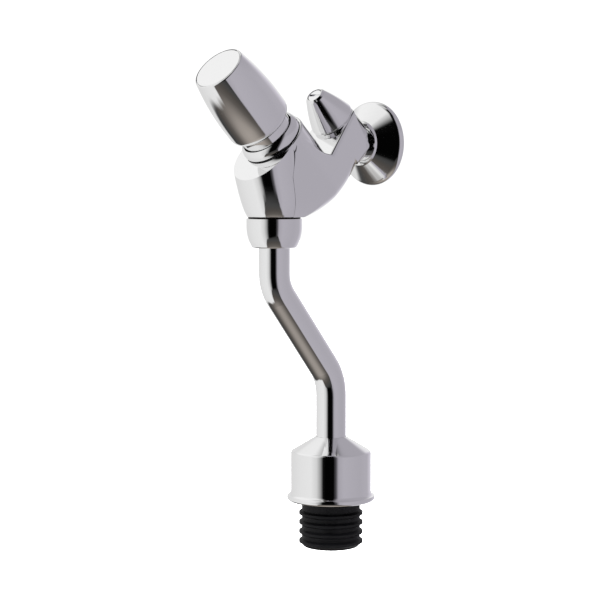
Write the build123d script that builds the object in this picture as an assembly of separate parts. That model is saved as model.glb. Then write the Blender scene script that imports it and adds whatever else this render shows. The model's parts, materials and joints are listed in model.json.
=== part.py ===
"""Self-closing push-button flush valve for one urinal, on a horizontal inlet from the wall.

Frame, in millimetres: the origin is on the inlet axis at the wall plane, +Y points into the wall and +Z up, so
the valve stands out along -Y. The plane x = 0 is the plane of symmetry. The button axis crosses the inlet axis
and the outlet axis in one point and leans away from the wall; the regulator axis is parallel to it. Heights
called S are measured along the button axis from that crossing, positive towards the knob.
"""
from build123d import *
import math
import os

os.makedirs("parts", exist_ok=True)

# Main axes
OUTLET_Y = -83.0            # vertical axis of the outlet and of the upper flush pipe
SPIGOT_Y = -36.0            # vertical axis of the urinal's inlet, the bell and the connector
TILT = 47.0                 # the button axis leans this many degrees from the vertical
REGULATOR_OFFSET = 42.5     # distance between the button axis and the regulator axis

# Clearances
RUNNING = 0.05              # shaft in a hole that guides it
SLIP = 0.1                  # fixed insert in its bore, or a loose sliding fit
LOOSE = 0.3                 # visible joint line

# Barrel of the body, about the button axis
BARREL_R = 19.6
FACE_S = 2.3                # flat face that the bonnet sits on
FACE_EDGE = 1.2
BARREL_FOOT_S = -25.0
THREAD_BORE_R = 17.4        # holds the bonnet's thread and the cartridge's flange
MAIN_BORE_R = 14.5
NOSE_BORE_R = 12.6
CHAMBER_R = 10.0
CHAMBER_END_S = -42.6
CHAMFER = 0.8

# Outlet cup and nozzle, about the outlet axis
NOZZLE_Z = -42.7            # joint plane between the body and the outlet nut
CUP_R = 19.5
CUP_BELLY_RISE = 23.0
CUP_BELLY_LEAN = 4.3
CUP_SECTIONS = [            # (rise above the joint plane, lean forward, radius)
    (0, 0, 15.4),
    (4.0, 0, 17.45),
    (9.5, 0.6, 18.9),
    (16.0, 2.3, 19.4),
    (CUP_BELLY_RISE, CUP_BELLY_LEAN, CUP_R),
    (34.0, 6.2, CUP_R),
    (46.7, 7.0, CUP_R),
]
CUP_FACE_EDGE = 3.5
CUP_FOOT_EDGE = 0.6
CORE_PROUD = 0.1            # the core's flanks stand out this far from the cup's sides
NOZZLE_THREAD_R = 13.22     # G3/4
NOZZLE_LENGTH = 11.3
NOZZLE_FLANGE_R = 15.0      # thin flange that shows between the casting and the nut
NOZZLE_SPIGOT_R = 11.5      # held in the casting
NOZZLE_SPIGOT_LENGTH = 6.0
OUTLET_BORE_R = 8.5
OUTLET_CHAMBER_R = 10.5     # hollow of the casting above the nozzle
OUTLET_CHAMBER_TOP_Z = -22.5

# Core of the body, with flat flanks that taper from the barrel to the regulator boss
BOSS_R = 13.4
BOSS_TOP_S = -26.5
CORE_FOOT_S = -50.0
FOOT_END_M = 21.0           # from here the foot curves up towards the nozzle
FOOT_MIDDLE = (-2.0, -46.9)
HEEL_M = -22.8
FLANK_TOP = (6.0, 0.0)      # the flank's upper edge runs through these points
FLANK_WAIST = (9.0, -12.0)
VALLEY_MIDDLE = (11.6, -20.4)
VALLEY_END_M = 15.5
FOOT_EDGE_R = 8.0
TOP_EDGE_R = 2.5            # of the core and of the cheeks

# Flat cheeks, which carry the flanks on over the boss and down beside the arm
CHEEK_START_M = 28.0
CHEEK_TOP_M = 51.0
CHEEK_CORNER = (44.8, -51.2)
CHEEK_TOE_S = -48.4
CHEEK_CORNER_R = 3.0

# Inlet arm of the body
ARM_R = 12.5
ARM_SHOULDER_Y = -16.5
ARM_END_Y = -14.0
ARM_EDGE = 1.8
ARM_ROOT_Y = -30.0
INSERT_BORE_R = 9.6
INSERT_BORE_END_S = -34.0
PLUG_BORE_R = 8.0
LEDGE_S = -43.5             # the regulator plug closes on this ledge
LEDGE_HOLE_R = 5.5
LEDGE_HOLE_END_S = -48.0
PASSAGE_S = -38.6
PASSAGE_R = 3.8

# Threaded inlet nipple, brazed to the arm's neck
TAIL_R = 10.4775            # G1/2
RELIEF_R = 10.1             # groove between the rosette's seat and the thread
RELIEF_START_Y = -8.0
THREAD_START_Y = -0.5
TAIL_END_Y = 16.0
INLET_BORE_R = 6.5
DUCT_R = 4.2
DUCT_DROP = 2.0
DUCT_END_Y = -19.0

# Bonnet
COLLAR_R = 18.3
COLLAR_HEIGHT = 6.3
COLLAR_LIP_R = 16.3
BONNET_BORE_R = 15.9
BONNET_DEPTH = 8.3
GASKET_T = 0.8

# Cartridge housing
FLANGE_T = 3.0
LAND_LENGTH = 5.5
CAGE_R = 12.2
PISTON_BORE_R = 10.5
HEAD_T = 7.5
NOSE_TOP_S = -28.0
NOSE_LENGTH = 4.0
WINDOW_COUNT = 4
WINDOW_WIDTH = 9.0
WINDOW_HEIGHT = 4.0
RING_T = 1.9                # section of the cartridge O-rings
STEM_RING_T = 1.6
SEAT_BORE_R = 7.0
SEAT_LIP = 0.4

# Spindle, piston and valve washer
SPINDLE_R = 4.0
SPINDLE_TOP_S = 43.5
PISTON_TOP_S = -14.2
PISTON_T = 4.4
LIP_T = 2.2
METERING_R = 0.5
WASHER_R = 9.2
WASHER_T = 2.6
RETAINER_R = 6.5
RETAINER_T = 2.2
SPINDLE_TAIL = 0.6

# Knob
KNOB_TRAVEL = 4.5
KNOB_GAP = 0.5              # left between the collar and the pressed knob's shoulder
KNOB_LENGTH = 45.7
KNOB_TOP_R = 15.1
KNOB_MIDDLE_R = 18.2
KNOB_MAX_R = 19.05
KNOB_MAX_RISE = 8.4
KNOB_SHOULDER_R = 5.0
KNOB_RING_R = 15.35
KNOB_RING_LENGTH = 8.6
KNOB_CAVITY_R = 13.2
KNOB_CAVITY_DEPTH = 31.0
KNOB_BOSS_R = 9.4
KNOB_BOSS_DEPTH = 12.0
KNOB_WEB_T = 4.0
KNOB_RIM_EDGE = 1.0
DISC_R = 14.2
DISC_T = 1.6
DISC_EDGE = 0.4
DISC_PLUG_WALL = 1.0
SCREW_R = 2.0
SCREW_HEAD_R = 3.8
SCREW_HEAD_T = 2.6
SCREW_LENGTH = 12.0
SCREW_POCKET_R = 5.2

# Return spring, between its washer and the knob's boss
SPRING_R = 7.2
SPRING_WIRE_R = 0.7
SPRING_TURNS = 6
SPRING_WASHER_R = 9.0
SPRING_WASHER_T = 1.0

# Regulator
CAP_BASE_R = 13.4
CAP_SEAT_R = 12.0
CAP_BASE_RISE = 1.9
CAP_MIDDLE_R = 10.2
CAP_MIDDLE_RISE = 11.3
CAP_TOP_R = 6.2
CAP_TOP_CHAMFER = 1.3
CAP_HEIGHT = 21.6
CAP_WALL = 1.5
CAP_EDGE = 0.8
CAP_HOLE_R = 4.6
INSERT_HEAD_R = 10.2
INSERT_HEAD_T = 1.8
INSERT_NECK_R = 6.2
INSERT_NECK_LENGTH = 11.2
INSERT_CAVITY_TOP = 2.6     # roof of the plug's cavity, below the insert's head
ADJUSTER_R = 3.0
ADJUSTER_THREAD_R = 2.5
ADJUSTER_COLLAR_R = 4.6
ADJUSTER_COLLAR_T = 1.3
ADJUSTER_HEAD_R = 4.3
ADJUSTER_HEAD_T = 3.0
ADJUSTER_RECESS = 0.3
ADJUSTER_THREAD_LENGTH = 8.2
SLOT_WIDTH = 1.5
SLOT_DEPTH = 1.6
ADJUSTER_RING_T = 0.9
CLIP_T = 0.7
CLIP_R = 4.6
CLIP_OPENING = 4.0
PLUG_R = 7.95
PLUG_LENGTH = 9.7
PLUG_TRAVEL = 4.5
PLUG_WASHER_R = 7.2
PLUG_WASHER_T = 1.5
KEY_WIDTH = 2.0
KEY_HEIGHT = 0.8
KEY_LENGTH = 4.5

# Wall rosette
ROSETTE_R = 25.2
ROSETTE_RIM = 2.2           # height of the rim, before its outer edge is rounded
ROSETTE_HUB_R = 13.2
ROSETTE_CONE_R = 13.6       # the cone starts here, behind the hub's short neck
ROSETTE_CONE_RISE = 11.0
ROSETTE_DEPTH = 12.4
ROSETTE_WALL = 1.0
ROSETTE_EDGE = 4.2

# Outlet nut, its gasket and slip ring
NUT_GAP = 0.9               # joint between the casting and the nut, filled by the nozzle's flange
NUT_R = 16.0
NUT_STRAIGHT = 4.5
NUT_FOOT_R = 12.6
NUT_LENGTH = 16.7
NUT_EDGE = 1.2
PIPE_FLANGE_R = 12.3
PIPE_FLANGE_T = 1.8
OUTLET_GASKET_T = 1.5
SLIP_RING_T = 0.4

# Flush pipe
PIPE_R = 9.0
PIPE_WALL = 1.0
UPPER_CORNER_Z = -82.8
LOWER_CORNER_Z = -139.3
UPPER_BEND_R = 22.0
LOWER_BEND_R = 28.0
PIPE_END_Z = -222.0

# Bell cover
BELL_TOP_Z = -174.0
BELL_R = 24.0
BELL_CONE_HEIGHT = 9.0
BELL_HEIGHT = 38.4
BELL_LIP_R = 26.3
BELL_LIP_T = 3.2
BELL_LIP_INSET = 0.3
BELL_FLARE_T = 2.8
BELL_WALL = 1.0
BELL_SHOULDER_EDGE = 2.0

# Rubber connector
CONNECTOR_FOOT_Z = -240.3
CONNECTOR_R = 17.4
SLEEVE_R = 12.8
STEM_TOP_Z = -208.0
RIB_R = 19.1
RIB_FIRST_Z = -219.9
RIB_PITCH = 5.67
RIB_COUNT = 4
RIB_WIDTH = 3.4
RIB_LAND = 1.4
FOOT_TAPER = 3.0
FOOT_EDGE = 2.4
CONNECTOR_BORE_R = 7.5

# Frames whose Z axis is the axis that a group of pieces is turned about
LEAN = math.radians(TILT)
AXIS = (0, -math.sin(LEAN), math.cos(LEAN))
BUTTON = Plane(origin=(0, OUTLET_Y, 0), x_dir=(1, 0, 0), z_dir=AXIS)
REGULATOR = Plane(
    origin=(0, OUTLET_Y + REGULATOR_OFFSET * math.cos(LEAN), REGULATOR_OFFSET * math.sin(LEAN)),
    x_dir=(1, 0, 0),
    z_dir=AXIS,
)
OUTLET = Plane(origin=(0, OUTLET_Y, 0))
SPIGOT = Plane(origin=(0, SPIGOT_Y, 0))
INLET = Plane(origin=(0, 0, 0), x_dir=(1, 0, 0), z_dir=(0, 1, 0))

# Heights that several pieces share
COLLAR_TOP_S = FACE_S + COLLAR_HEIGHT
FLANGE_TOP_S = FACE_S - BONNET_DEPTH
SHOULDER_S = FLANGE_TOP_S - FLANGE_T
SEAT_S = NOSE_TOP_S - NOSE_LENGTH
SHOULDER_BASE_S = COLLAR_TOP_S + KNOB_GAP + KNOB_TRAVEL
KNOB_TOP_S = SHOULDER_BASE_S + KNOB_LENGTH
SPRING_BASE_S = FLANGE_TOP_S + SPRING_WASHER_T
BOSS_FACE_S = SHOULDER_BASE_S + KNOB_BOSS_DEPTH
CAVITY_TOP_S = SHOULDER_BASE_S + KNOB_CAVITY_DEPTH
SCREW_SEAT_S = SPINDLE_TOP_S + KNOB_WEB_T
PLUG_FOOT_S = LEDGE_S + PLUG_TRAVEL
ROOF_S = BOSS_TOP_S - INSERT_CAVITY_TOP
NECK_TOP_S = BOSS_TOP_S + INSERT_HEAD_T + INSERT_NECK_LENGTH
CAP_TOP_S = BOSS_TOP_S + CAP_HEIGHT
NUT_TOP_Z = NOZZLE_Z - NUT_GAP
NUT_FOOT_Z = NUT_TOP_Z - NUT_LENGTH
NOZZLE_END_Z = NOZZLE_Z - NOZZLE_LENGTH
NOZZLE_TOP_Z = NOZZLE_Z + NOZZLE_SPIGOT_LENGTH
PIPE_TOP_Z = NOZZLE_END_Z - OUTLET_GASKET_T
SLIP_RING_Z = PIPE_TOP_Z - PIPE_FLANGE_T
NUT_SHELF_Z = SLIP_RING_Z - SLIP_RING_T
BELL_FOOT_Z = BELL_TOP_Z - BELL_HEIGHT
BELL_HOLE_R = PIPE_R + SLIP


def turned(frame, *outline, rounds=()):
    """Solid turned about the frame's Z axis. An outline point is (radius, height), and one of four numbers is
    an arc, given by its middle and its end. rounds lists (corner, radius)."""
    edges = []
    last = outline[0]
    for point in outline[1:] + outline[:1]:
        end = point[-2:]
        if len(point) == 4:
            edges.append(ThreePointArc(last, point[:2], end))
        else:
            edges.append(Line(last, end))
        last = end
    face = make_face(edges)
    for corner, radius in rounds:
        vertex = face.vertices().sort_by_distance((*corner, 0))[0]
        face = fillet(vertex, radius)
    return frame.location * revolve(Plane.XZ * face, Axis.Z)


def rod(frame, radius, low, high):
    """Plain round bar between two heights."""
    return turned(frame, (0, low), (radius, low), (radius, high), (0, high))


def ring(frame, inner, outer, low, high):
    """Plain ring of rectangular section between two heights."""
    return turned(frame, (inner, low), (outer, low), (outer, high), (inner, high))


def o_ring(frame, inner, thickness, middle):
    """Rubber ring of round section."""
    section = Plane.XZ * Pos(inner + thickness / 2, middle) * Circle(thickness / 2)
    return frame.location * revolve(section, Axis.Z)


def box(frame, low, high):
    """Box between two corners of a frame."""
    size = [b - a for a, b in zip(low, high)]
    middle = [(a + b) / 2 for a, b in zip(low, high)]
    return frame.location * Pos(*middle) * Box(*size)


def groove(land_radius, thickness):
    """Radius of the floor of an O-ring groove that opens outwards to a bore."""
    return land_radius - thickness


def barrel():
    """Upper end of the inclined barrel, with the face for the bonnet."""
    return turned(
        BUTTON,
        (0, BARREL_FOOT_S),
        (BARREL_R, BARREL_FOOT_S),
        (BARREL_R, FACE_S),
        (0, FACE_S),
        rounds=[((BARREL_R, FACE_S), FACE_EDGE)],
    )


def outlet_cup():
    """Cup that carries the nozzle and leans forward under the bonnet, where the sloping face cuts it off."""
    circles = [Pos(0, OUTLET_Y - lean, NOZZLE_Z + rise) * Circle(radius) for rise, lean, radius in CUP_SECTIONS]
    cup = loft(circles)
    reach = 4 * BARREL_R
    cup -= box(BUTTON, (-reach, -reach, FACE_S), (reach, reach, FACE_S + reach))
    face = cup.faces().filter_by(GeomType.PLANE).sort_by(Axis.Z)[-1]
    cup = fillet(face.edges(), CUP_FACE_EDGE)
    foot = cup.faces().filter_by(GeomType.PLANE).sort_by(Axis.Z)[0]
    return fillet(foot.edges(), CUP_FOOT_EDGE)


def cup_axis():
    """Foot and belly of the outlet cup's axis, as (distance behind the button axis, height S)."""
    foot = BUTTON.to_local_coords((0, OUTLET_Y, NOZZLE_Z))
    belly = BUTTON.to_local_coords((0, OUTLET_Y - CUP_BELLY_LEAN, NOZZLE_Z + CUP_BELLY_RISE))
    return [(foot.Y, foot.Z), (belly.Y, belly.Z)]


def core_profile():
    """Side view of the core, as a face of (distance behind the button axis, height S)."""
    foot, belly = cup_axis()
    heel_s = (NOZZLE_Z - HEEL_M * BUTTON.y_dir.Z) / BUTTON.z_dir.Z
    reach = REGULATOR_OFFSET + BOSS_R
    return make_face([
        Polyline(foot, belly, (0, FACE_S - FACE_EDGE), FLANK_TOP, FLANK_WAIST),
        ThreePointArc(FLANK_WAIST, VALLEY_MIDDLE, (VALLEY_END_M, BOSS_TOP_S)),
        Polyline((VALLEY_END_M, BOSS_TOP_S), (reach, BOSS_TOP_S)),
        Polyline((reach, BOSS_TOP_S), (reach, CORE_FOOT_S), (FOOT_END_M, CORE_FOOT_S)),
        ThreePointArc((FOOT_END_M, CORE_FOOT_S), FOOT_MIDDLE, (HEEL_M, heel_s)),
        Line((HEEL_M, heel_s), foot),
    ])


def rim_edges(solid, at_foot):
    """Edges round the core's foot, or round its top behind the barrel, but none that runs straight across."""
    middle_s = (BOSS_TOP_S + CORE_FOOT_S) / 2
    chosen = []
    for edge in solid.edges():
        points = [BUTTON.to_local_coords(edge @ part) for part in (0, 0.5, 1)]
        if at_foot:
            belongs = all(point.Z < middle_s for point in points)
        else:
            belongs = all(point.Z > middle_s and point.Y > TOP_EDGE_R for point in points)
        across = edge.geom_type == GeomType.LINE and abs((edge % 0).X) > 0.99
        if belongs and not across:
            chosen.append(edge)
    return chosen


def cup_taper():
    """Block whose sides draw in towards the nozzle as the outlet cup does."""
    reach = 4 * BARREL_R
    lower = [section for section in CUP_SECTIONS if section[0] < CUP_BELLY_RISE]
    side = [(radius + CORE_PROUD, NOZZLE_Z + rise) for rise, lean, radius in lower]
    side.append((BARREL_R + CORE_PROUD, NOZZLE_Z + CUP_BELLY_RISE))
    outline = Spline(*side)
    half = make_face([
        outline,
        Polyline(side[-1], (reach, side[-1][1]), (reach, reach), (0, reach), (0, NOZZLE_Z), side[0]),
    ])
    return Pos(0, OUTLET_Y) * extrude(Plane.XZ * (half + mirror(half, Plane.YZ)), reach, both=True)


def cheek():
    """Flat cheeks of the boss, which end in a corner beside the arm."""
    lean = math.asin((BARREL_R - BOSS_R) / REGULATOR_OFFSET)
    reach = 2 * REGULATOR_OFFSET
    side = make_face([
        Polyline(
            (CHEEK_START_M, CHEEK_TOE_S),
            CHEEK_CORNER,
            (CHEEK_TOP_M, BOSS_TOP_S),
            (CHEEK_START_M, BOSS_TOP_S),
            (CHEEK_START_M, CHEEK_TOE_S),
        ),
    ])
    corner = side.vertices().sort_by_distance((*CHEEK_CORNER, 0))[0]
    side = fillet(corner, CHEEK_CORNER_R)
    wide, narrow = [(BARREL_R - m * math.sin(lean)) / math.cos(lean) for m in (CHEEK_START_M, CHEEK_TOP_M)]
    plan = make_face([
        Polyline(
            (-wide, CHEEK_START_M),
            (wide, CHEEK_START_M),
            (narrow, CHEEK_TOP_M),
            (-narrow, CHEEK_TOP_M),
            (-wide, CHEEK_START_M),
        ),
    ])
    solid = BUTTON.location * extrude(Plane.YZ * side, reach, both=True)
    solid &= BUTTON.location * extrude(Pos(0, 0, -reach) * plan, 2 * reach)
    rounded = []
    for edge in solid.edges():
        points = [BUTTON.to_local_coords(edge @ part) for part in (0, 0.5, 1)]
        across = edge.geom_type == GeomType.LINE and abs((edge % 0).X) > 0.99
        in_core = all(point.Y < CHEEK_START_M + 0.01 for point in points)
        if not (across or in_core):
            rounded.append(edge)
    return fillet(rounded, TOP_EDGE_R)


def core():
    """Core between cup, barrel and boss: its side view, cut to a plan with tapering flat flanks."""
    thick = BUTTON.location * extrude(Plane.YZ * core_profile(), BARREL_R, both=True)
    boss_circle = Pos(0, REGULATOR_OFFSET) * Circle(BOSS_R)
    plan = make_hull(Circle(BARREL_R).edges() + boss_circle.edges())
    reach = 2 * REGULATOR_OFFSET
    plan += Pos(0, -reach / 2) * Rectangle(2 * BARREL_R, reach)
    solid = thick & BUTTON.location * extrude(Pos(0, 0, -reach) * plan, 2 * reach)
    solid = fillet(rim_edges(solid, True), FOOT_EDGE_R)
    solid = fillet(rim_edges(solid, False), TOP_EDGE_R)
    return solid & cup_taper()


def inlet_arm():
    """Horizontal arm, which ends in a short neck."""
    return turned(
        INLET,
        (0, ARM_ROOT_Y),
        (ARM_R, ARM_ROOT_Y),
        (ARM_R, ARM_SHOULDER_Y),
        (TAIL_R, ARM_SHOULDER_Y),
        (TAIL_R, ARM_END_Y),
        (0, ARM_END_Y),
        rounds=[((ARM_R, ARM_SHOULDER_Y), ARM_EDGE)],
    )


def body_waterways():
    """Every bore of the body, as one tool."""
    button_bores = turned(
        BUTTON,
        (0, CHAMBER_END_S),
        (CHAMBER_R, CHAMBER_END_S),
        (CHAMBER_R, SEAT_S),
        (NOSE_BORE_R, SEAT_S),
        (NOSE_BORE_R, NOSE_TOP_S),
        (MAIN_BORE_R, NOSE_TOP_S + CHAMFER),
        (MAIN_BORE_R, SHOULDER_S),
        (THREAD_BORE_R, SHOULDER_S),
        (THREAD_BORE_R, FACE_S),
        (0, FACE_S),
    )
    regulator_bores = turned(
        REGULATOR,
        (0, LEDGE_HOLE_END_S),
        (LEDGE_HOLE_R, LEDGE_HOLE_END_S),
        (LEDGE_HOLE_R, LEDGE_S),
        (PLUG_BORE_R, LEDGE_S),
        (PLUG_BORE_R, INSERT_BORE_END_S),
        (INSERT_BORE_R, INSERT_BORE_END_S),
        (INSERT_BORE_R, BOSS_TOP_S),
        (0, BOSS_TOP_S),
    )
    keyway = key(KEY_HEIGHT + SLIP, KEY_WIDTH + 2 * SLIP, LEDGE_S, INSERT_BORE_END_S)
    passage_frame = Plane(
        origin=BUTTON.from_local_coords((0, 0, PASSAGE_S)),
        x_dir=(1, 0, 0),
        z_dir=BUTTON.y_dir,
    )
    passage = rod(passage_frame, PASSAGE_R, 0, REGULATOR_OFFSET)
    outlet = rod(OUTLET, OUTLET_CHAMBER_R, NOZZLE_Z, OUTLET_CHAMBER_TOP_Z)
    nozzle_socket = rod(OUTLET, NOZZLE_SPIGOT_R + RUNNING, NOZZLE_Z, NOZZLE_TOP_Z)
    duct_frame = Plane(origin=(0, 0, -DUCT_DROP), x_dir=(1, 0, 0), z_dir=(0, 1, 0))
    duct = rod(duct_frame, DUCT_R, DUCT_END_Y, ARM_END_Y)
    return [button_bores, regulator_bores, keyway, passage, outlet, nozzle_socket, duct]


def key(height, width, low, high):
    """Key on the side of the regulator plug, or the keyway for it."""
    return box(REGULATOR, (-width / 2, PLUG_R - KEY_HEIGHT, low), (width / 2, PLUG_R + height, high))


def valve_body():
    """The casting: barrel, core, cheeks, cup and arm, cut off at the nipple's end, with its waterways."""
    body = core() + inlet_arm() + cheek() + outlet_cup() + barrel()
    body -= rod(INLET, BARREL_R, ARM_END_Y, 0)
    for waterway in body_waterways():
        body -= waterway
    return body


def outlet_nozzle():
    """Threaded nozzle under the casting, which the outlet nut screws on."""
    return turned(
        OUTLET,
        (OUTLET_BORE_R, NOZZLE_END_Z),
        (NOZZLE_THREAD_R - CHAMFER, NOZZLE_END_Z),
        (NOZZLE_THREAD_R, NOZZLE_END_Z + CHAMFER),
        (NOZZLE_THREAD_R, NUT_TOP_Z + SLIP),
        (NOZZLE_FLANGE_R, NUT_TOP_Z + SLIP),
        (NOZZLE_FLANGE_R, NOZZLE_Z),
        (NOZZLE_SPIGOT_R, NOZZLE_Z),
        (NOZZLE_SPIGOT_R, NOZZLE_TOP_Z),
        (OUTLET_BORE_R, NOZZLE_TOP_Z),
    )


def inlet_nipple():
    """Nipple that runs from the arm through the rosette to its thread."""
    return turned(
        INLET,
        (INLET_BORE_R, ARM_END_Y),
        (TAIL_R, ARM_END_Y),
        (TAIL_R, RELIEF_START_Y),
        (RELIEF_R, RELIEF_START_Y),
        (RELIEF_R, THREAD_START_Y),
        (TAIL_R, THREAD_START_Y),
        (TAIL_R, TAIL_END_Y - CHAMFER),
        (TAIL_R - CHAMFER, TAIL_END_Y),
        (INLET_BORE_R, TAIL_END_Y),
    )


def bonnet():
    """Chrome collar around the knob's ring, with the thread that clamps the cartridge."""
    lip_mid_r = COLLAR_LIP_R + (COLLAR_R - COLLAR_LIP_R) * 0.78
    lip_mid_s = FACE_S + COLLAR_HEIGHT * 0.62
    return turned(
        BUTTON,
        (BONNET_BORE_R, FLANGE_TOP_S),
        (THREAD_BORE_R - RUNNING, FLANGE_TOP_S),
        (THREAD_BORE_R - RUNNING, FACE_S + GASKET_T),
        (COLLAR_R, FACE_S + GASKET_T),
        (lip_mid_r, lip_mid_s, COLLAR_LIP_R, COLLAR_TOP_S),
        (BONNET_BORE_R, COLLAR_TOP_S - (COLLAR_LIP_R - BONNET_BORE_R)),
    )


def bonnet_gasket():
    """Flat ring under the collar."""
    return ring(BUTTON, THREAD_BORE_R, COLLAR_R - SLIP, FACE_S, FACE_S + GASKET_T)


def cartridge_housing():
    """Brass cage: flange, head with the stem's gland, piston bore, windows and nose."""
    land_r = MAIN_BORE_R - SLIP
    nose_r = NOSE_BORE_R - SLIP
    head_foot_s = FLANGE_TOP_S - HEAD_T
    land_foot_s = SHOULDER_S - LAND_LENGTH
    groove_s = SHOULDER_S - LAND_LENGTH / 2
    nose_groove_s = NOSE_TOP_S - NOSE_LENGTH / 2
    housing = turned(
        BUTTON,
        (SPINDLE_R + RUNNING, head_foot_s),
        (PISTON_BORE_R, head_foot_s),
        (PISTON_BORE_R, SEAT_S),
        (nose_r, SEAT_S),
        (nose_r, NOSE_TOP_S),
        (CAGE_R, NOSE_TOP_S),
        (CAGE_R, land_foot_s),
        (land_r, land_foot_s),
        (land_r, SHOULDER_S),
        (THREAD_BORE_R - SLIP, SHOULDER_S),
        (THREAD_BORE_R - SLIP, FLANGE_TOP_S),
        (SPINDLE_R + RUNNING, FLANGE_TOP_S),
    )
    half = RING_T / 2 + SLIP
    stem_half = STEM_RING_T / 2 + SLIP
    stem_groove_s = FLANGE_TOP_S - HEAD_T / 2
    housing -= ring(BUTTON, groove(MAIN_BORE_R, RING_T), MAIN_BORE_R, groove_s - half, groove_s + half)
    nose_floor_r = groove(NOSE_BORE_R, RING_T)
    housing -= ring(BUTTON, nose_floor_r, NOSE_BORE_R, nose_groove_s - half, nose_groove_s + half)
    gland_r = SPINDLE_R + STEM_RING_T
    housing -= ring(BUTTON, SPINDLE_R, gland_r, stem_groove_s - stem_half, stem_groove_s + stem_half)
    window_top_s = NOSE_TOP_S + WINDOW_HEIGHT
    for index in range(WINDOW_COUNT):
        turn = BUTTON.location * Rot(0, 0, 360 * index / WINDOW_COUNT)
        window = Pos(CAGE_R, 0, (NOSE_TOP_S + window_top_s) / 2) * Box(CAGE_R, WINDOW_WIDTH, WINDOW_HEIGHT)
        housing -= turn * window
    return housing


def cartridge_o_rings():
    """Upper ring on the land and lower ring on the nose."""
    upper = o_ring(BUTTON, groove(MAIN_BORE_R, RING_T), RING_T, SHOULDER_S - LAND_LENGTH / 2)
    lower = o_ring(BUTTON, groove(NOSE_BORE_R, RING_T), RING_T, NOSE_TOP_S - NOSE_LENGTH / 2)
    return Compound([upper, lower])


def stem_o_ring():
    """Ring that seals the spindle in the cartridge's head."""
    return o_ring(BUTTON, SPINDLE_R, STEM_RING_T, FLANGE_TOP_S - HEAD_T / 2)


def valve_seat():
    """Seat ring in the cartridge's nose, with the raised lip that the washer closes on."""
    return turned(
        BUTTON,
        (SEAT_BORE_R, SEAT_S - SEAT_LIP),
        (SEAT_BORE_R + 2 * SEAT_LIP, SEAT_S - SEAT_LIP),
        (SEAT_BORE_R + 3 * SEAT_LIP, SEAT_S),
        (PISTON_BORE_R, SEAT_S),
        (PISTON_BORE_R, NOSE_TOP_S),
        (SEAT_BORE_R, NOSE_TOP_S),
    )


def spindle():
    """Spindle from the knob to the valve washer, with a tapped hole for the knob's screw."""
    washer_top_s = SEAT_S - SEAT_LIP
    tail_s = washer_top_s - WASHER_T - RETAINER_T - SPINDLE_TAIL
    bar = rod(BUTTON, SPINDLE_R, tail_s, SPINDLE_TOP_S)
    return bar - rod(BUTTON, SCREW_R + RUNNING, SCREW_SEAT_S - SCREW_LENGTH - RUNNING, SPINDLE_TOP_S)


def piston():
    """Timing piston with its metering hole."""
    disc = ring(BUTTON, SPINDLE_R, PISTON_BORE_R - SLIP, PISTON_TOP_S - PISTON_T, PISTON_TOP_S)
    hole = BUTTON.location * Pos(0, (SPINDLE_R + PISTON_BORE_R) / 2, PISTON_TOP_S - PISTON_T / 2)
    return disc - hole * Cylinder(METERING_R, 2 * PISTON_T)


def piston_lip_seal():
    """Cup seal under the piston, whose lip wipes the bore."""
    top_s = PISTON_TOP_S - PISTON_T
    return turned(
        BUTTON,
        (SPINDLE_R, top_s - LIP_T / 2),
        (PISTON_BORE_R - LIP_T / 2, top_s - LIP_T / 2),
        (PISTON_BORE_R - LIP_T / 3, top_s - LIP_T),
        (PISTON_BORE_R - RUNNING, top_s - LIP_T),
        (PISTON_BORE_R - LIP_T / 3, top_s),
        (SPINDLE_R, top_s),
    )


def valve_washer():
    """Rubber washer that closes on the seat from below."""
    top_s = SEAT_S - SEAT_LIP
    return ring(BUTTON, SPINDLE_R, WASHER_R, top_s - WASHER_T, top_s)


def washer_retainer():
    """Nut that holds the washer on the spindle."""
    top_s = SEAT_S - SEAT_LIP - WASHER_T
    hexagon = extrude(RegularPolygon(RETAINER_R, 6), RETAINER_T)
    nut = BUTTON.location * Pos(0, 0, top_s - RETAINER_T) * hexagon
    return nut - rod(BUTTON, SPINDLE_R, top_s - RETAINER_T, top_s)


def push_knob():
    """Tapered knob with a rounded shoulder, a ring that runs in the collar, a spindle boss and a top recess."""
    middle_s = SHOULDER_BASE_S + (KNOB_MAX_RISE + KNOB_LENGTH) / 2
    ring_foot_s = SHOULDER_BASE_S - KNOB_RING_LENGTH
    outside = turned(
        BUTTON,
        (0, SHOULDER_BASE_S),
        (KNOB_MAX_R, SHOULDER_BASE_S),
        (KNOB_MAX_R, SHOULDER_BASE_S + KNOB_MAX_RISE),
        (KNOB_MIDDLE_R, middle_s, KNOB_TOP_R, KNOB_TOP_S),
        (0, KNOB_TOP_S),
        rounds=[
            ((KNOB_MAX_R, SHOULDER_BASE_S), KNOB_SHOULDER_R),
            ((KNOB_TOP_R, KNOB_TOP_S), KNOB_RIM_EDGE),
        ],
    )
    outside += rod(BUTTON, KNOB_RING_R, ring_foot_s, BOSS_FACE_S)
    cavity = ring(BUTTON, KNOB_BOSS_R, KNOB_CAVITY_R, BOSS_FACE_S, CAVITY_TOP_S)
    cavity += rod(BUTTON, KNOB_CAVITY_R, ring_foot_s, BOSS_FACE_S)
    socket = rod(BUTTON, SPINDLE_R, BOSS_FACE_S, SPINDLE_TOP_S)
    screw_hole = rod(BUTTON, SCREW_R + RUNNING, SPINDLE_TOP_S, SCREW_SEAT_S)
    pocket = rod(BUTTON, SCREW_POCKET_R, SCREW_SEAT_S, KNOB_TOP_S - DISC_T)
    recess = rod(BUTTON, DISC_R + LOOSE, KNOB_TOP_S - DISC_T, KNOB_TOP_S)
    return outside - cavity - socket - screw_hole - pocket - recess


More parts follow.
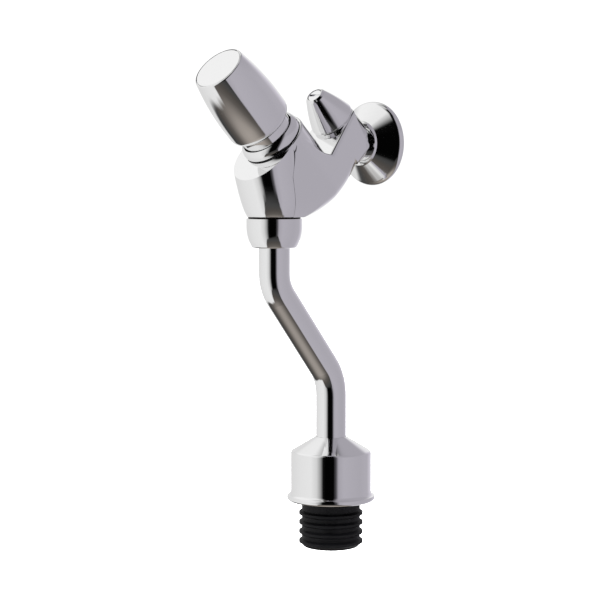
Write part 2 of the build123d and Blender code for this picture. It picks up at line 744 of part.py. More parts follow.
def knob_top_disc():
    """Flat disc in the knob's top, with a hollow plug that snaps into the screw pocket."""
    plug_foot_s = SCREW_SEAT_S + SCREW_HEAD_T + LOOSE
    disc = turned(
        BUTTON,
        (0, KNOB_TOP_S - DISC_T),
        (DISC_R, KNOB_TOP_S - DISC_T),
        (DISC_R, KNOB_TOP_S),
        (0, KNOB_TOP_S),
        rounds=[((DISC_R, KNOB_TOP_S), DISC_EDGE)],
    )
    plug_bore_r = SCREW_POCKET_R - DISC_PLUG_WALL
    return disc + ring(BUTTON, plug_bore_r, SCREW_POCKET_R, plug_foot_s, KNOB_TOP_S - DISC_T)


def knob_screw():
    """Cheese-head screw that holds the knob on the spindle."""
    shank = rod(BUTTON, SCREW_R, SCREW_SEAT_S - SCREW_LENGTH, SCREW_SEAT_S)
    head = rod(BUTTON, SCREW_HEAD_R, SCREW_SEAT_S, SCREW_SEAT_S + SCREW_HEAD_T)
    top_s = SCREW_SEAT_S + SCREW_HEAD_T
    slot_foot_s = top_s - SLOT_DEPTH
    slot = box(BUTTON, (-SCREW_HEAD_R, -SLOT_WIDTH / 2, slot_foot_s), (SCREW_HEAD_R, SLOT_WIDTH / 2, top_s))
    return shank + head - slot


def spring_washer():
    """Flat washer on the cartridge's head."""
    return ring(BUTTON, SPINDLE_R + LOOSE, SPRING_WASHER_R, FLANGE_TOP_S, SPRING_BASE_S)


def return_spring():
    """Round-wire compression spring around the spindle."""
    length = BOSS_FACE_S - SPRING_BASE_S - 2 * SPRING_WIRE_R
    path = Helix(pitch=length / SPRING_TURNS, height=length, radius=SPRING_R)
    wire = Plane(origin=path @ 0, z_dir=path % 0) * Circle(SPRING_WIRE_R)
    return BUTTON.location * Pos(0, 0, SPRING_BASE_S + SPRING_WIRE_R) * sweep(wire, path, is_frenet=True)


def regulator_cap():
    """Conical cover over the regulator's neck, open at the top for the slotted head."""
    base_s = BOSS_TOP_S + CAP_BASE_RISE
    inner_top_s = CAP_TOP_S - CAP_WALL
    return turned(
        REGULATOR,
        (CAP_SEAT_R - CAP_WALL, BOSS_TOP_S),
        (CAP_SEAT_R, BOSS_TOP_S),
        (CAP_BASE_R, base_s),
        (CAP_MIDDLE_R, BOSS_TOP_S + CAP_MIDDLE_RISE, CAP_TOP_R, CAP_TOP_S - CAP_TOP_CHAMFER),
        (CAP_TOP_R - CAP_TOP_CHAMFER, CAP_TOP_S),
        (CAP_HOLE_R, CAP_TOP_S),
        (CAP_HOLE_R, inner_top_s),
        (CAP_MIDDLE_R - CAP_WALL, BOSS_TOP_S + CAP_MIDDLE_RISE, CAP_BASE_R - CAP_WALL, base_s),
        rounds=[((CAP_BASE_R, base_s), CAP_EDGE)],
    )


def regulator_insert():
    """Brass insert screwed into the boss: keyed sleeve for the plug, flange and neck."""
    insert = turned(
        REGULATOR,
        (PLUG_BORE_R, INSERT_BORE_END_S),
        (INSERT_BORE_R - RUNNING, INSERT_BORE_END_S),
        (INSERT_BORE_R - RUNNING, BOSS_TOP_S),
        (INSERT_HEAD_R, BOSS_TOP_S),
        (INSERT_HEAD_R, BOSS_TOP_S + INSERT_HEAD_T),
        (INSERT_NECK_R, BOSS_TOP_S + INSERT_HEAD_T),
        (INSERT_NECK_R, NECK_TOP_S),
        (ADJUSTER_R + RUNNING, NECK_TOP_S),
        (ADJUSTER_R + RUNNING, ROOF_S + ADJUSTER_COLLAR_T + SLIP),
        (ADJUSTER_COLLAR_R + SLIP, ROOF_S + ADJUSTER_COLLAR_T + SLIP),
        (ADJUSTER_COLLAR_R + SLIP, ROOF_S),
        (PLUG_BORE_R, ROOF_S),
    )
    return insert - key(KEY_HEIGHT + SLIP, KEY_WIDTH + 2 * SLIP, INSERT_BORE_END_S, ROOF_S)


def adjuster_groove_s():
    """Middle height of the spindle's O-ring groove."""
    return NECK_TOP_S - INSERT_NECK_LENGTH / 2


def regulator_spindle():
    """Slotted, non-rising adjusting spindle."""
    head_top_s = CAP_TOP_S - ADJUSTER_RECESS
    head_foot_s = head_top_s - ADJUSTER_HEAD_T
    half = ADJUSTER_RING_T / 2 + SLIP / 2
    ring_s = adjuster_groove_s()
    clip_floor = ADJUSTER_R - CLIP_T
    clip_foot_s = NECK_TOP_S + SLIP
    bar = turned(
        REGULATOR,
        (0, ROOF_S - ADJUSTER_THREAD_LENGTH),
        (ADJUSTER_THREAD_R, ROOF_S - ADJUSTER_THREAD_LENGTH),
        (ADJUSTER_THREAD_R, ROOF_S),
        (ADJUSTER_COLLAR_R, ROOF_S),
        (ADJUSTER_COLLAR_R, ROOF_S + ADJUSTER_COLLAR_T),
        (ADJUSTER_R, ROOF_S + ADJUSTER_COLLAR_T),
        (ADJUSTER_R, ring_s - half),
        (ADJUSTER_R - ADJUSTER_RING_T, ring_s - half),
        (ADJUSTER_R - ADJUSTER_RING_T, ring_s + half),
        (ADJUSTER_R, ring_s + half),
        (ADJUSTER_R, clip_foot_s),
        (clip_floor, clip_foot_s),
        (clip_floor, clip_foot_s + CLIP_T),
        (ADJUSTER_R, clip_foot_s + CLIP_T),
        (ADJUSTER_R, head_foot_s),
        (ADJUSTER_HEAD_R, head_foot_s),
        (ADJUSTER_HEAD_R, head_top_s),
        (0, head_top_s),
        rounds=[((ADJUSTER_HEAD_R, head_top_s), CAP_EDGE / 3)],
    )
    slot = box(
        REGULATOR,
        (-ADJUSTER_HEAD_R, -SLOT_WIDTH / 2, head_top_s - SLOT_DEPTH),
        (ADJUSTER_HEAD_R, SLOT_WIDTH / 2, head_top_s),
    )
    return bar - slot


def regulator_o_ring():
    """Ring that seals the spindle in the insert."""
    return o_ring(REGULATOR, ADJUSTER_R - ADJUSTER_RING_T, ADJUSTER_RING_T, adjuster_groove_s())


def regulator_circlip():
    """Open clip above the neck, in the spindle's groove."""
    foot_s = NECK_TOP_S + SLIP
    clip = ring(REGULATOR, ADJUSTER_R - CLIP_T, CLIP_R, foot_s, foot_s + CLIP_T)
    return clip - box(REGULATOR, (-CLIP_OPENING / 2, 0, foot_s), (CLIP_OPENING / 2, CLIP_R, foot_s + CLIP_T))


def regulator_plug():
    """Keyed plug that the spindle's thread draws up and down over the passage."""
    foot_s = PLUG_FOOT_S + PLUG_WASHER_T
    top_s = PLUG_FOOT_S + PLUG_LENGTH
    plug = ring(REGULATOR, ADJUSTER_THREAD_R + RUNNING, PLUG_R, foot_s, top_s)
    plug += key(KEY_HEIGHT, KEY_WIDTH, foot_s, foot_s + KEY_LENGTH)
    return plug


def plug_washer():
    """Rubber disc on the plug's foot, which closes on the ledge."""
    return rod(REGULATOR, PLUG_WASHER_R, PLUG_FOOT_S, PLUG_FOOT_S + PLUG_WASHER_T)


def wall_rosette():
    """Conical cover plate with a flat hub and a rounded rim, thin, open at the back."""
    bore_r = TAIL_R + SLIP
    slope = (ROSETTE_CONE_RISE - ROSETTE_RIM) / (ROSETTE_R - ROSETTE_CONE_R)
    drop = ROSETTE_WALL * math.hypot(1, slope)
    inner_r = ROSETTE_R - ROSETTE_WALL
    inner_rim_y = -ROSETTE_RIM - ROSETTE_WALL * slope + drop
    hub_floor_y = -ROSETTE_DEPTH + ROSETTE_WALL
    inner_hub_r = ROSETTE_CONE_R - ROSETTE_WALL
    inner_cone_y = -ROSETTE_CONE_RISE - ROSETTE_WALL * slope + drop
    return turned(
        INLET,
        (bore_r, -ROSETTE_DEPTH),
        (ROSETTE_HUB_R, -ROSETTE_DEPTH),
        (ROSETTE_CONE_R, -ROSETTE_CONE_RISE),
        (ROSETTE_R, -ROSETTE_RIM),
        (ROSETTE_R, 0),
        (inner_r, 0),
        (inner_r, inner_rim_y),
        (inner_hub_r, inner_cone_y),
        (inner_hub_r, hub_floor_y),
        (bore_r, hub_floor_y),
        rounds=[
            ((ROSETTE_R, -ROSETTE_RIM), ROSETTE_EDGE),
            ((inner_r, inner_rim_y), ROSETTE_EDGE - ROSETTE_WALL),
        ],
    )


def outlet_nut():
    """Smooth round union nut, straight at the top and drawn in towards its foot by one arc."""
    thread_end_z = NOZZLE_END_Z
    arc_top_z = NUT_TOP_Z - NUT_STRAIGHT
    half_turn = math.atan2(NUT_R - NUT_FOOT_R, arc_top_z - NUT_FOOT_Z)
    arc_r = math.hypot(NUT_R - NUT_FOOT_R, arc_top_z - NUT_FOOT_Z) / (2 * math.sin(half_turn))
    arc_middle = (NUT_R - arc_r * (1 - math.cos(half_turn)), arc_top_z - arc_r * math.sin(half_turn))
    return turned(
        OUTLET,
        (PIPE_R + LOOSE, NUT_FOOT_Z),
        (NUT_FOOT_R, NUT_FOOT_Z),
        (*arc_middle, NUT_R, arc_top_z),
        (NUT_R, NUT_TOP_Z),
        (NOZZLE_THREAD_R + RUNNING, NUT_TOP_Z),
        (NOZZLE_THREAD_R + RUNNING, thread_end_z),
        (PIPE_FLANGE_R + LOOSE, thread_end_z - CHAMFER),
        (PIPE_FLANGE_R + LOOSE, NUT_SHELF_Z),
        (PIPE_R + LOOSE, NUT_SHELF_Z),
        rounds=[((NUT_FOOT_R, NUT_FOOT_Z), NUT_EDGE)],
    )


def outlet_gasket():
    """Flat gasket between the nozzle and the pipe's flange."""
    return ring(OUTLET, OUTLET_BORE_R, PIPE_FLANGE_R, PIPE_TOP_Z, NOZZLE_END_Z)


def pipe_slip_ring():
    """Thin ring between the pipe's flange and the nut's floor."""
    return ring(OUTLET, PIPE_R + SLIP, PIPE_FLANGE_R, NUT_SHELF_Z, SLIP_RING_Z)


def pipe_path():
    """Centre line of the flush pipe, straight runs joined by two bends."""
    corners = [
        (0, OUTLET_Y, PIPE_TOP_Z),
        (0, OUTLET_Y, UPPER_CORNER_Z),
        (0, SPIGOT_Y, LOWER_CORNER_Z),
        (0, SPIGOT_Y, PIPE_END_Z),
    ]
    return FilletPolyline(*corners, radius=[UPPER_BEND_R, LOWER_BEND_R])


def flush_pipe():
    """Offset flush pipe with a flange at its top end."""
    path = pipe_path()
    start = Plane(origin=path @ 0, z_dir=path % 0)
    pipe = sweep(start * Circle(PIPE_R), path)
    pipe += ring(OUTLET, PIPE_R - PIPE_WALL, PIPE_FLANGE_R, SLIP_RING_Z, PIPE_TOP_Z)
    return pipe - sweep(start * Circle(PIPE_R - PIPE_WALL), path)


def under_cone_z(radius):
    """Height of the inside of the bell's cone at a radius."""
    slope = math.atan2(BELL_CONE_HEIGHT, BELL_R - BELL_HOLE_R)
    return BELL_TOP_Z - BELL_WALL / math.cos(slope) - (radius - BELL_HOLE_R) * math.tan(slope)


def bell_cover():
    """Spun bell with a conical top and a flared, rolled lip."""
    shoulder_z = BELL_TOP_Z - BELL_CONE_HEIGHT
    flare_z = BELL_FOOT_Z + BELL_LIP_T + BELL_FLARE_T
    flare_mid_r = BELL_R + (BELL_LIP_R - BELL_R) * 0.3
    flare_mid_z = flare_z - BELL_FLARE_T * 0.7
    inner_r = BELL_R - BELL_WALL
    return turned(
        SPIGOT,
        (BELL_HOLE_R, BELL_TOP_Z),
        (BELL_R, shoulder_z),
        (BELL_R, flare_z),
        (flare_mid_r, flare_mid_z, BELL_LIP_R - BELL_LIP_INSET, BELL_FOOT_Z + BELL_LIP_T),
        (BELL_LIP_R, BELL_FOOT_Z + BELL_LIP_T / 2, BELL_LIP_R - BELL_LIP_T / 2, BELL_FOOT_Z),
        (inner_r, BELL_FOOT_Z),
        (inner_r, under_cone_z(inner_r)),
        (BELL_HOLE_R, under_cone_z(BELL_HOLE_R)),
        rounds=[((BELL_R, shoulder_z), BELL_SHOULDER_EDGE)],
    )


def rubber_connector():
    """Rubber connector: sleeve on the pipe, ribbed spigot for the urinal's inlet, tapered foot."""
    foot_top_z = RIB_FIRST_Z - (RIB_COUNT - 1) * RIB_PITCH - RIB_WIDTH / 2
    sleeve_top_z = under_cone_z(SLEEVE_R) - RUNNING
    outline = [
        (CONNECTOR_BORE_R, CONNECTOR_FOOT_Z),
        (RIB_R - FOOT_TAPER, CONNECTOR_FOOT_Z),
        (CONNECTOR_R, foot_top_z),
    ]
    for index in reversed(range(RIB_COUNT)):
        middle_z = RIB_FIRST_Z - index * RIB_PITCH
        if index < RIB_COUNT - 1:
            outline.append((CONNECTOR_R, middle_z - RIB_WIDTH / 2))
        outline.append((RIB_R, middle_z - RIB_LAND / 2))
        outline.append((RIB_R, middle_z + RIB_LAND / 2))
        outline.append((CONNECTOR_R, middle_z + RIB_WIDTH / 2))
    outline += [
        (CONNECTOR_R, STEM_TOP_Z),
        (SLEEVE_R, STEM_TOP_Z + CONNECTOR_R - SLEEVE_R),
        (SLEEVE_R, sleeve_top_z),
        (PIPE_R, sleeve_top_z),
        (PIPE_R, PIPE_END_Z),
        (CONNECTOR_BORE_R, PIPE_END_Z),
    ]
    return turned(SPIGOT, *outline, rounds=[((RIB_R - FOOT_TAPER, CONNECTOR_FOOT_Z), FOOT_EDGE)])


PIECES = [
    valve_body,
    outlet_nozzle,
    inlet_nipple,
    bonnet,
    bonnet_gasket,
    cartridge_housing,
    cartridge_o_rings,
    stem_o_ring,
    valve_seat,
    spindle,
    piston,
    piston_lip_seal,
    valve_washer,
    washer_retainer,
    push_knob,
    knob_top_disc,
    knob_screw,
    spring_washer,
    return_spring,
    regulator_cap,
    regulator_insert,
    regulator_spindle,
    regulator_o_ring,
    regulator_circlip,
    regulator_plug,
    plug_washer,
    wall_rosette,
    outlet_nut,
    outlet_gasket,
    pipe_slip_ring,
    flush_pipe,
    bell_cover,
    rubber_connector,
]

for piece in PIECES:
    export_step(piece(), f"parts/{piece.__name__}.step")
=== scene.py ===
import json
import math

import bpy
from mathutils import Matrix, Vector


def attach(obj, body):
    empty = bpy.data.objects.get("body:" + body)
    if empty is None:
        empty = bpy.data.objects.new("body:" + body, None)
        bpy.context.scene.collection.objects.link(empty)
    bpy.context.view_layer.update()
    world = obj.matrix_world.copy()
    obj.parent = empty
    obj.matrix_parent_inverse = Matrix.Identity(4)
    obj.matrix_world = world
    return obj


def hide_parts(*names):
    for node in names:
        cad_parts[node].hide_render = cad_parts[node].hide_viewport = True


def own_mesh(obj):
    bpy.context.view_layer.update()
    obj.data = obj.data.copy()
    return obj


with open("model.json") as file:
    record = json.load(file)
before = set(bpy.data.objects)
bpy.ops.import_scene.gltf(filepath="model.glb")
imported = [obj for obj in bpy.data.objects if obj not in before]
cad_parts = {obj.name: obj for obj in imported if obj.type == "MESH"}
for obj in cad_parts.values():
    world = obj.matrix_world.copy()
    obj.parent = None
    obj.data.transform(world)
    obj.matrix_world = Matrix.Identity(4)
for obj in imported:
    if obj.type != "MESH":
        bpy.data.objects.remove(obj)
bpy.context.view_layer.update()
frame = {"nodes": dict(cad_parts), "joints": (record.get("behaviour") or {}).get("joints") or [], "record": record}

# Camera, fitted to the circles of the pipe, nut, bell, rosette and knob
CAMERA_PLACE = (0.73991, -0.80496, -0.01502)
CAMERA_AZIMUTH = 44.889
CAMERA_ELEVATION = 4.167
CAMERA_LENS = 108.24
CAMERA_SENSOR = 36.0
CAMERA_NEAR = 0.01

# Return spring: heights along the button axis, from the point where it crosses the outlet axis
OUTLET_Y = -0.083
SPRING_LOW = -0.005
SPRING_HIGH = 0.0256
SPRING_TURNS = 6
COIL_R = 0.0072
WIRE_R = 0.0007
STEPS_PER_TURN = 48
WIRE_SIDES = 12

# Materials: colours and roughness run between two values over a noise; a bump is its strength and distance
NOISE_DETAIL = 3.0

CHROME_COLOUR = (0.92, 0.92, 0.92, 1)
CHROME_ROUGHNESS = (0.03, 0.09)
CHROME_HAZE_SCALE = 55.0
CHROME_WAVE_SCALE = 90.0
CHROME_WAVE_DETAIL = 1.0
CHROME_BUMP = (0.04, 0.0004)

RUBBER_COLOURS = ((0.002, 0.002, 0.0025), (0.006, 0.006, 0.007))
RUBBER_ROUGHNESS = (0.42, 0.6)
RUBBER_SHINE = 0.12
RUBBER_DUST_SCALE = 220.0
RUBBER_GRAIN_SCALE = 1500.0
RUBBER_BUMP = (0.15, 0.0002)

BRASS_COLOURS = ((0.55, 0.38, 0.14), (0.75, 0.55, 0.25))
BRASS_ROUGHNESS = (0.25, 0.4)
# Near-black brass: the unplated thread in the gap between the body and the nut, made near-black as painted shade
# for that gap
THREAD_AND_PAINTED_SHADE_COLOURS = ((0.010, 0.008, 0.006), (0.025, 0.020, 0.016))
DARK_BRASS_ROUGHNESS = (0.5, 0.65)
BRASS_STAIN_SCALE = 120.0
STEEL_COLOURS = ((0.45, 0.45, 0.46), (0.6, 0.6, 0.61))
STEEL_ROUGHNESS = (0.3, 0.45)
STEEL_STAIN_SCALE = 140.0
TOOL_MARK_SCALE = 900.0
TOOL_MARK_BUMP = (0.1, 0.0001)

ACETAL_COLOURS = ((0.72, 0.71, 0.67), (0.8, 0.79, 0.75))
ACETAL_ROUGHNESS = (0.35, 0.5)
ACETAL_CLOUD_SCALE = 130.0

# Floor, well below the hanging valve, and the light over it
FLOOR_Z = -0.45
FLOOR_SIZE = 14.0
FLOOR_GLOW = 1.15
FLOOR_COLOURS = ((0.86, 0.86, 0.86), (0.9, 0.9, 0.9))
FLOOR_ROUGHNESS = 0.9
FLOOR_SHINE = 0.1
FLOOR_MOTTLE_SCALE = 3.0
LAMP_HEIGHT = 4.0
LAMP_SIZE = 6.0
LAMP_POWER = 900.0

# Grey levels and angles
GREY_MOST = 255
GAMMA = 2.2
QUARTER_TURN = 90
HALF_TURN = 180
FULL_TURN = 360

# Tints
WHITE = (1.0, 1.0, 1.0)
COOL = (1.0, 0.96, 1.07)
WARM = (1.1, 0.99, 0.9)

# Brightness of the studio round the valve: degrees to the right of the camera's side, grey level, tint
SIDES = [
    (-180, 222, WHITE),
    (-150, 214, WHITE),
    (-100, 224, WHITE),
    (-60, 228, WHITE),
    (-42, 207, WHITE),
    (-32, 158, WHITE),
    (-24, 22, WHITE),
    (-16, 10, WHITE),
    (7, 12, WHITE),
    (14, 78, COOL),
    (21, 163, COOL),
    (36, 173, COOL),
    (90, 167, COOL),
    (125, 172, COOL),
    (150, 205, COOL),
    (165, 232, WHITE),
    (180, 222, WHITE),
]
# The same for what lies high above the sides
HIGH = [
    (-180, 205, WHITE),
    (-165, 226, WHITE),
    (-135, 240, WHITE),
    (-50, 230, WHITE),
    (-36, 180, WHITE),
    (-25, 14, WHITE),
    (7, 10, WHITE),
    (16, 100, COOL),
    (24, 162, COOL),
    (90, 160, COOL),
    (152, 162, COOL),
    (172, 185, WHITE),
    (180, 205, WHITE),
]
# The same round the zenith
TOP = [
    (-180, 100, WHITE),
    (-165, 165, WHITE),
    (-90, 205, WHITE),
    (-62, 150, WHITE),
    (-48, 20, WHITE),
    (12, 12, WHITE),
    (25, 60, COOL),
    (40, 155, COOL),
    (150, 155, COOL),
    (160, 95, COOL),
    (172, 45, WHITE),
    (180, 100, WHITE),
]
# Brightness below the sides: degrees above the horizon, grey level, tint
LOW = [
    (-90, 160, WARM),
    (-80, 156, WARM),
    (-70, 142, WARM),
    (-62, 116, WARM),
    (-54, 88, WARM),
    (-46, 74, WARM),
    (-38, 68, WHITE),
    (-30, 52, WHITE),
    (-20, 32, WHITE),
]
# Line where the sides end: degrees to the right of the camera's side, degrees above the horizon
LOW_LINE = [
    (-180, -40),
    (-152, -27),
    (-142, -29),
    (-132, -33),
    (-118, -41),
    (-102, -51),
    (-88, -56),
    (-74, -57),
    (-60, -59),
    (-52, -57),
    (-42, -43),
    (-35, -34),
    (-5, -30),
    (17, -26),
    (26, -38),
    (45, -52),
    (80, -62),
    (140, -62),
    (180, -40),
]
LOW_SOFTNESS = 3.0
# Degrees above the horizon where the sides pass into the high part, and the high part into the top
HIGH_START = 22.0
HIGH_FULL = 36.0
TOP_START = 58.0
TOP_FULL = 70.0
STUDIO_STRENGTH = 1.08


def grey(level, tint=WHITE):
    """Linear colour of an 8-bit grey level, tinted."""
    linear = (level / GREY_MOST) ** GAMMA
    return (linear * tint[0], linear * tint[1], linear * tint[2], 1.0)


def new_material(name):
    """New material, with its node tree and shader."""
    material = bpy.data.materials.new(name)
    material.use_nodes = True
    tree = material.node_tree
    return material, tree, tree.nodes["Principled BSDF"]


def link(tree, value, slot):
    """Give an input its value: another node's output, or a fixed number or colour."""
    if isinstance(value, bpy.types.NodeSocket):
        tree.links.new(value, slot)
    else:
        slot.default_value = value


def noise(tree, scale, detail=NOISE_DETAIL):
    """Noise in the object's own coordinates."""
    place = tree.nodes.new("ShaderNodeTexCoord")
    node = tree.nodes.new("ShaderNodeTexNoise")
    node.inputs["Scale"].default_value = scale
    node.inputs["Detail"].default_value = detail
    tree.links.new(place.outputs["Object"], node.inputs["Vector"])
    return node.outputs["Fac"]


def ramp(tree, factor, stops):
    """Colour ramp over a factor from 0 to 1; a stop is (position, colour)."""
    node = tree.nodes.new("ShaderNodeValToRGB")
    elements = node.color_ramp.elements
    while len(elements) < len(stops):
        elements.new(position=0.5)
    for element, (position, colour) in zip(elements, stops):
        element.position = position
        element.color = colour
    tree.links.new(factor, node.inputs["Fac"])
    return node.outputs["Color"]


def vary_colour(tree, shader, factor, colours):
    """Base colour that runs between two colours over a factor."""
    low, high = colours
    colour = ramp(tree, factor, [(0, (*low, 1)), (1, (*high, 1))])
    tree.links.new(colour, shader.inputs["Base Color"])
    return colour


def vary_roughness(tree, shader, factor, roughness):
    """Roughness that runs between two values over a factor."""
    low, high = roughness
    node = tree.nodes.new("ShaderNodeMapRange")
    node.inputs["To Min"].default_value = low
    node.inputs["To Max"].default_value = high
    tree.links.new(factor, node.inputs["Value"])
    tree.links.new(node.outputs["Result"], shader.inputs["Roughness"])


def bump(tree, shader, height, size):
    """Bump of a strength and distance, on the shader's normal."""
    strength, distance = size
    node = tree.nodes.new("ShaderNodeBump")
    node.inputs["Strength"].default_value = strength
    node.inputs["Distance"].default_value = distance
    tree.links.new(height, node.inputs["Height"])
    tree.links.new(node.outputs["Normal"], shader.inputs["Normal"])


def chrome():
    """Polished chrome plate with a faint waviness and unevenly wiped gloss."""
    material, tree, shader = new_material("chrome_plate")
    shader.inputs["Metallic"].default_value = 1.0
    shader.inputs["Base Color"].default_value = CHROME_COLOUR
    vary_roughness(tree, shader, noise(tree, CHROME_HAZE_SCALE), CHROME_ROUGHNESS)
    bump(tree, shader, noise(tree, CHROME_WAVE_SCALE, CHROME_WAVE_DETAIL), CHROME_BUMP)
    return material


def rubber():
    """Black moulded rubber with a dusty sheen."""
    material, tree, shader = new_material("black_rubber")
    shader.inputs["Specular IOR Level"].default_value = RUBBER_SHINE
    dust = noise(tree, RUBBER_DUST_SCALE)
    vary_colour(tree, shader, dust, RUBBER_COLOURS)
    vary_roughness(tree, shader, dust, RUBBER_ROUGHNESS)
    bump(tree, shader, noise(tree, RUBBER_GRAIN_SCALE), RUBBER_BUMP)
    return material


def metal(name, colours, roughness, scale):
    """Machined metal, stained over a noise of that scale, with fine tool marks."""
    material, tree, shader = new_material(name)
    shader.inputs["Metallic"].default_value = 1.0
    stain = noise(tree, scale)
    vary_colour(tree, shader, stain, colours)
    vary_roughness(tree, shader, stain, roughness)
    bump(tree, shader, noise(tree, TOOL_MARK_SCALE), TOOL_MARK_BUMP)
    return material


def acetal():
    """White acetal plastic."""
    material, tree, shader = new_material("white_acetal")
    cloud = noise(tree, ACETAL_CLOUD_SCALE)
    vary_colour(tree, shader, cloud, ACETAL_COLOURS)
    vary_roughness(tree, shader, cloud, ACETAL_ROUGHNESS)
    return material


def dress(materials):
    """Give every CAD node the material of its record slot."""
    for entry in frame["record"]["subparts"]:
        node = frame["nodes"][entry["node"]]
        node.data.materials.clear()
        node.data.materials.append(materials[entry["material_slot"]])


def tube_faces(rings, sides):
    """Faces of a closed tube through rings of points."""
    faces = [tuple(range(sides))]
    for ring in range(rings - 1):
        for side in range(sides):
            here = ring * sides + side
            beside = ring * sides + (side + 1) % sides
            faces.append((here, here + sides, beside + sides, beside))
    last = (rings - 1) * sides
    faces.append(tuple(last + side for side in reversed(range(sides))))
    return faces


def coil_points(centre, along):
    """Rings of points round the spring's wire, wound about the line along from centre."""
    across = Vector((1, 0, 0))
    level = along.cross(across)
    low = SPRING_LOW + WIRE_R
    rise = SPRING_HIGH - WIRE_R - low
    steps = SPRING_TURNS * STEPS_PER_TURN
    points = []
    for step in range(steps + 1):
        turn = 2 * math.pi * step / STEPS_PER_TURN
        out = math.cos(turn) * across + math.sin(turn) * level
        middle = centre + COIL_R * out + (low + rise * step / steps) * along
        for side in range(WIRE_SIDES):
            angle = 2 * math.pi * side / WIRE_SIDES
            points.append(middle + WIRE_R * (math.cos(angle) * out + math.sin(angle) * along))
    return points


def spring(material):
    """Return spring, wound along the knob's press axis and attached to the button."""
    press = {joint["name"]: joint for joint in frame["joints"]}["knob_press"]
    along = -Vector(press["axis"])
    centre = Vector((0, OUTLET_Y, 0))
    points = coil_points(centre, along)
    mesh = bpy.data.meshes.new("spring_coil")
    mesh.from_pydata(points, [], tube_faces(len(points) // WIRE_SIDES, WIRE_SIDES))
    mesh.polygons.foreach_set("use_smooth", [True] * len(mesh.polygons))
    mesh.materials.append(material)
    coil = bpy.data.objects.new("spring_coil", mesh)
    bpy.context.scene.collection.objects.link(coil)
    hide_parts("return_spring")
    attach(coil, "button")
    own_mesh(coil)


def maths(tree, operation, *inputs):
    """One maths node; an input is another node's output or a number."""
    node = tree.nodes.new("ShaderNodeMath")
    node.operation = operation
    for slot, value in zip(node.inputs, inputs):
        link(tree, value, slot)
    return node.outputs["Value"]


def fade(tree, source, start, full):
    """Smooth factor, 0 at start and 1 at full."""
    node = tree.nodes.new("ShaderNodeMapRange")
    node.interpolation_type = "SMOOTHSTEP"
    node.inputs["From Min"].default_value = start
    node.inputs["From Max"].default_value = full
    tree.links.new(source, node.inputs["Value"])
    return node.outputs["Result"]


def mix(tree, factor, first, second):
    """Mix of two colours; each is another node's output or a fixed colour."""
    node = tree.nodes.new("ShaderNodeMix")
    node.data_type = "RGBA"
    tree.links.new(factor, node.inputs["Factor"])
    for name, value in (("A", first), ("B", second)):
        slot = next(slot for slot in node.inputs if slot.name == name and slot.type == "RGBA")
        link(tree, value, slot)
    return next(output for output in node.outputs if output.type == "RGBA")


def round_stops(triples):
    """Ramp stops over the whole turn."""
    return [((turn + HALF_TURN) / FULL_TURN, grey(level, tint)) for turn, level, tint in triples]


def rise_stops(triples):
    """Ramp stops from straight down to the horizon."""
    return [((rise + QUARTER_TURN) / QUARTER_TURN, grey(level, tint)) for rise, level, tint in triples]


def line_stops(pairs):
    """Ramp stops over the whole turn, whose grey carries the share of a quarter turn below the horizon."""
    return [((turn + HALF_TURN) / FULL_TURN, (-rise / QUARTER_TURN,) * 3 + (1,)) for turn, rise in pairs]


def turn_factor(tree, split):
    """Direction round the vertical as a factor, 0.5 on the camera's side."""
    back = maths(tree, "MULTIPLY", split.outputs["Y"], -1.0)
    turn = maths(tree, "ARCTAN2", split.outputs["X"], back)
    turn = maths(tree, "SUBTRACT", turn, math.radians(CAMERA_AZIMUTH))
    turn = maths(tree, "WRAP", turn, math.pi, -math.pi)
    return maths(tree, "MULTIPLY_ADD", turn, 0.5 / math.pi, 0.5)


def studio():
    """World that lights the valve like the photographer's cards; the camera itself sees plain white."""
    world = bpy.data.worlds.new("studio")
    bpy.context.scene.world = world
    world.use_nodes = True
    tree = world.node_tree
    background = tree.nodes["Background"]
    background.inputs["Strength"].default_value = STUDIO_STRENGTH
    place = tree.nodes.new("ShaderNodeTexCoord")
    split = tree.nodes.new("ShaderNodeSeparateXYZ")
    tree.links.new(place.outputs["Generated"], split.inputs["Vector"])
    turn = turn_factor(tree, split)
    rise = maths(tree, "ARCSINE", split.outputs["Z"])
    rise = maths(tree, "MULTIPLY", rise, HALF_TURN / math.pi)
    height = maths(tree, "MULTIPLY_ADD", rise, 1 / QUARTER_TURN, 1.0)
    sides = ramp(tree, turn, round_stops(SIDES))
    high = ramp(tree, turn, round_stops(HIGH))
    top = ramp(tree, turn, round_stops(TOP))
    low = ramp(tree, height, rise_stops(LOW))
    line = ramp(tree, turn, line_stops(LOW_LINE))
    below = maths(tree, "MULTIPLY", line, -QUARTER_TURN)
    below = maths(tree, "SUBTRACT", below, rise)
    colour = mix(tree, fade(tree, below, -LOW_SOFTNESS, LOW_SOFTNESS), sides, low)
    colour = mix(tree, fade(tree, rise, HIGH_START, HIGH_FULL), colour, high)
    colour = mix(tree, fade(tree, rise, TOP_START, TOP_FULL), colour, top)
    rays = tree.nodes.new("ShaderNodeLightPath")
    colour = mix(tree, rays.outputs["Is Camera Ray"], colour, (*WHITE, 1))
    tree.links.new(colour, background.inputs["Color"])


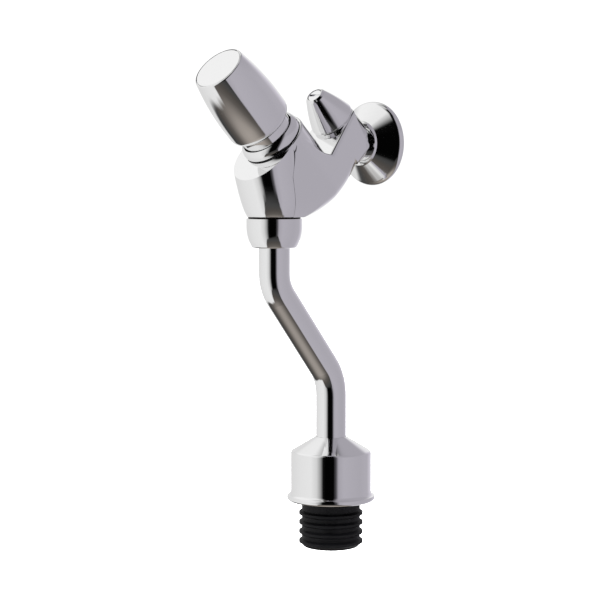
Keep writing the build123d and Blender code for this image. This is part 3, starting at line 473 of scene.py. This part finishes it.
def floor_material():
    """Pale mottled floor that glows by itself."""
    material, tree, shader = new_material("pale_floor")
    shader.inputs["Roughness"].default_value = FLOOR_ROUGHNESS
    shader.inputs["Specular IOR Level"].default_value = FLOOR_SHINE
    colour = vary_colour(tree, shader, noise(tree, FLOOR_MOTTLE_SCALE), FLOOR_COLOURS)
    tree.links.new(colour, shader.inputs["Emission Color"])
    shader.inputs["Emission Strength"].default_value = FLOOR_GLOW
    material.cycles.emission_sampling = "NONE"
    return material


def floor():
    """Plain pale floor, which the chrome doesn't mirror."""
    half = FLOOR_SIZE / 2
    corners = [(x, y, FLOOR_Z) for x, y in ((-half, -half), (half, -half), (half, half), (-half, half))]
    mesh = bpy.data.meshes.new("floor")
    mesh.from_pydata(corners, [], [(0, 1, 2, 3)])
    mesh.materials.append(floor_material())
    plane = bpy.data.objects.new("floor", mesh)
    plane.visible_glossy = False
    bpy.context.scene.collection.objects.link(plane)


def lamp():
    """Soft overhead light for the floor, which the chrome doesn't mirror."""
    data = bpy.data.lights.new("overhead", "AREA")
    data.shape = "DISK"
    data.size = LAMP_SIZE
    data.energy = LAMP_POWER
    light = bpy.data.objects.new("overhead", data)
    light.location = (0, 0, LAMP_HEIGHT)
    light.visible_glossy = False
    bpy.context.scene.collection.objects.link(light)


def camera():
    """Camera at the photograph's viewing angle."""
    data = bpy.data.cameras.new("photo_camera")
    data.lens = CAMERA_LENS
    data.sensor_width = CAMERA_SENSOR
    data.sensor_fit = "HORIZONTAL"
    data.clip_start = CAMERA_NEAR
    holder = bpy.data.objects.new("photo_camera", data)
    holder.location = CAMERA_PLACE
    pitch = math.radians(QUARTER_TURN - CAMERA_ELEVATION)
    holder.rotation_euler = (pitch, 0, math.radians(CAMERA_AZIMUTH))
    bpy.context.scene.collection.objects.link(holder)
    bpy.context.scene.camera = holder


materials = {
    "chrome": chrome(),
    "rubber": rubber(),
    "brass": metal("machined_brass", BRASS_COLOURS, BRASS_ROUGHNESS, BRASS_STAIN_SCALE),
    # Unplated thread between body and nut, near-black as painted shade for the gap
    "dark_brass": metal("thread_brass_painted_shade", THREAD_AND_PAINTED_SHADE_COLOURS, DARK_BRASS_ROUGHNESS, BRASS_STAIN_SCALE),
    "steel": metal("stainless_steel", STEEL_COLOURS, STEEL_ROUGHNESS, STEEL_STAIN_SCALE),
    "plastic": acetal(),
}
dress(materials)
spring(materials["steel"])
studio()
floor()
lamp()
camera()
bpy.context.scene.view_settings.view_transform = "Standard"
